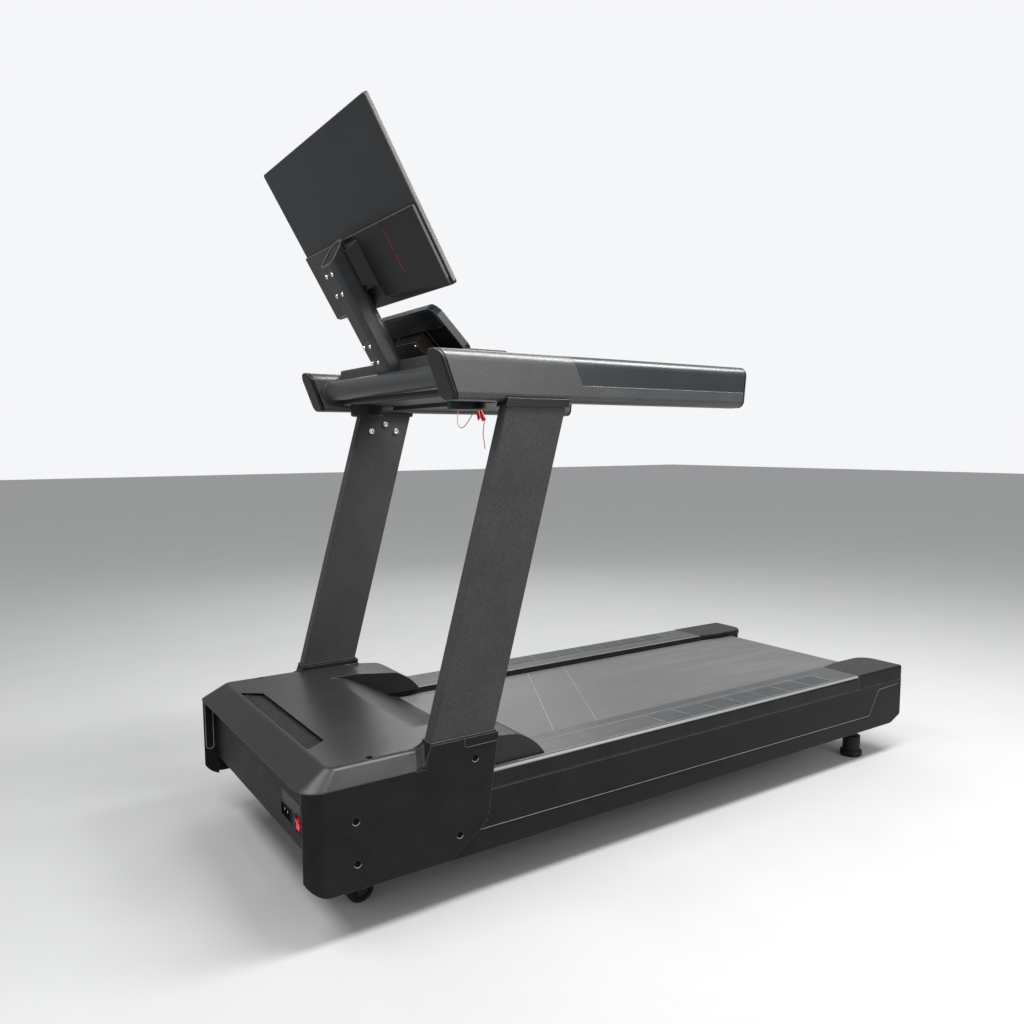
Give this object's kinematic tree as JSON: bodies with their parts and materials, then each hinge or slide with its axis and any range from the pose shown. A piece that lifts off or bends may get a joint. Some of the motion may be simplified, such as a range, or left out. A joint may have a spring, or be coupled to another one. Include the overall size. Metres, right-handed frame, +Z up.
{
  "type": "treadmill",
  "caption": "Club treadmill with a wide running belt, motor hood, leaning uprights, long side arms, cup holders and a large tilted screen.",
  "frame": {"origin": "on the floor, at the centre of the footprint", "axes": "+Y the running direction towards the motor hood, +X the runner's right, +Z up"},
  "size_m": [0.92, 2.3, 1.9352],
  "materials": {
    "frame_paint": "textured matte",
    "deck_board": "phenolic coated",
    "belt_rubber": "fine woven grain",
    "drum_steel": "machined",
    "bright_steel": "ground",
    "cast_pulley": "machined",
    "rib_belt": "ribbed",
    "motor_can": "satin",
    "controller_alloy": "anodised",
    "wheel_rubber": "matte",
    "cover_plastic": "fine texture",
    "panel_plastic": "fine texture",
    "grille_mesh": "perforated",
    "inlet_plastic": "gloss",
    "pin_brass": "polished",
    "switch_red": "lit gloss",
    "tread_rubber": "fine grain",
    "upright_paint": "fine texture powder coat",
    "bolt_chrome": "polished",
    "screw_black": "black oxide",
    "arm_plastic": "fine texture",
    "cap_plastic": "satin",
    "grip_rubber": "soft touch",
    "tray_plastic": "fine texture",
    "console_gloss": "gloss",
    "stop_red": "gloss",
    "start_green": "gloss",
    "neck_paint": "satin powder coat",
    "screen_shell": "fine texture",
    "screen_glass": "gloss",
    "screen_cover": "satin",
    "lanyard_red": "braided",
    "clip_red": "gloss"
  },
  "bodies": {
    "base": {"main_frame": "frame_paint", "running_deck": "deck_board", "running_belt": "belt_rubber", "roller_shafts": "bright_steel", "drive_belt": "rib_belt", "drive_motor": "motor_can", "lift_motor": "motor_can", "motor_controller": "controller_alloy", "side_cover_left": "cover_plastic", "side_cover_right": "cover_plastic", "motor_hood": "cover_plastic", "front_fascia": "cover_plastic", "rear_end_caps": "cover_plastic", "side_panel_left": "panel_plastic", "side_panel_right": "panel_plastic", "foot_rail_left": "panel_plastic", "foot_rail_right": "panel_plastic", "vent_grille": "grille_mesh", "power_inlet": "inlet_plastic", "inlet_pins": "pin_brass", "foot_treads": "tread_rubber", "upright_left": "upright_paint", "upright_right": "upright_paint", "upright_collars": "upright_paint", "front_cross_tube": "upright_paint", "button_head_bolts": "bolt_chrome", "cover_screws": "screw_black", "arm_left": "arm_plastic", "arm_right": "arm_plastic", "arm_end_caps": "cap_plastic", "grip_left": "grip_rubber", "grip_right": "grip_rubber", "console_tray": "tray_plastic", "cup_holders": "tray_plastic", "console_shell": "console_gloss", "console_face": "console_gloss", "screen_neck": "neck_paint", "screen_shell": "screen_shell", "screen_glass": "screen_glass", "screen_cover": "screen_cover", "lanyard_cord": "lanyard_red", "lanyard_tail": "lanyard_red", "lanyard_clip": "clip_red"},
    "front_roller": {"front_roller": "drum_steel", "roller_pulley": "cast_pulley"},
    "rear_roller": {"rear_roller": "drum_steel"},
    "motor_rotor": {"motor_shaft": "bright_steel", "motor_pulley": "cast_pulley", "flywheel": "cast_pulley"},
    "lift_frame": {"lift_frame": "frame_paint"},
    "lift_wheel_left": {"lift_wheel_left": "wheel_rubber"},
    "lift_wheel_right": {"lift_wheel_right": "wheel_rubber"},
    "lift_screw": {"lift_screw": "bright_steel"},
    "rear_foot_left": {"rear_foot_left": "wheel_rubber"},
    "rear_foot_right": {"rear_foot_right": "wheel_rubber"},
    "rocker_switch": {"rocker_switch": "switch_red"},
    "stop_button": {"stop_button": "stop_red"},
    "start_button": {"start_button": "start_green"},
    "safety_key": {"safety_key": "stop_red"},
    "clip_lever": {"clip_lever": "clip_red"}
  },
  "joints": [
    {"name": "front_roller_spin", "type": "hinge", "parent": "base", "child": "front_roller", "pos_m": [0, 0.69, 0.2602], "axis": [1, 0, 0], "continuous": true},
    {"name": "rear_roller_spin", "type": "hinge", "parent": "base", "child": "rear_roller", "pos_m": [0, -1.059, 0.2602], "axis": [1, 0, 0], "continuous": true},
    {"name": "motor_spin", "type": "hinge", "parent": "base", "child": "motor_rotor", "pos_m": [-0.2, 0.925, 0.262], "axis": [1, 0, 0], "continuous": true},
    {"name": "lift_pivot", "type": "hinge", "parent": "base", "child": "lift_frame", "pos_m": [0, 0.64, 0.15], "axis": [-1, 0, 0], "range_deg": [0, 25]},
    {"name": "left_wheel_spin", "type": "hinge", "parent": "lift_frame", "child": "lift_wheel_left", "pos_m": [-0.302, 0.955, 0.036], "axis": [1, 0, 0], "continuous": true},
    {"name": "right_wheel_spin", "type": "hinge", "parent": "lift_frame", "child": "lift_wheel_right", "pos_m": [0.302, 0.955, 0.036], "axis": [1, 0, 0], "continuous": true},
    {"name": "lift_screw_travel", "type": "slide", "parent": "base", "child": "lift_screw", "axis": [0, 1, 0], "range_m": [0, 0.024]},
    {"name": "left_foot_height", "type": "slide", "parent": "base", "child": "rear_foot_left", "axis": [0, 0, -1], "range_m": [0, 0.03]},
    {"name": "right_foot_height", "type": "slide", "parent": "base", "child": "rear_foot_right", "axis": [0, 0, -1], "range_m": [0, 0.03]},
    {"name": "mains_rocker", "type": "hinge", "parent": "base", "child": "rocker_switch", "pos_m": [-0.312, 1.106, 0.242], "axis": [1, 0, 0], "range_deg": [0, 16]},
    {"name": "stop_press", "type": "slide", "parent": "base", "child": "stop_button", "axis": [0, 0.7071, -0.7071], "range_m": [0, 0.003], "stiffness_N_per_m": 400, "springref_m": -0.002},
    {"name": "start_press", "type": "slide", "parent": "base", "child": "start_button", "axis": [0, 0.7071, -0.7071], "range_m": [0, 0.003], "stiffness_N_per_m": 400, "springref_m": -0.002},
    {"name": "safety_key_pull", "type": "slide", "parent": "base", "child": "safety_key", "axis": [0, -1, 0], "range_m": [0, 0.008]},
    {"name": "clip_squeeze", "type": "hinge", "parent": "base", "child": "clip_lever", "pos_m": [-0.18007, 0.51575, 1.23171], "axis": [-0.7431, 0, 0.6691], "range_deg": [0, 8], "stiffness_Nm_per_rad": 0.4, "springref_deg": -11.46}
  ],
  "couplings": [
    {"joint": "rear_roller_spin", "follows": "front_roller_spin", "ratio": 1},
    {"joint": "motor_spin", "follows": "front_roller_spin", "ratio": 1.7333},
    {"joint": "lift_screw_travel", "follows": "lift_pivot", "m_per_rad": 0.053}
  ]
}
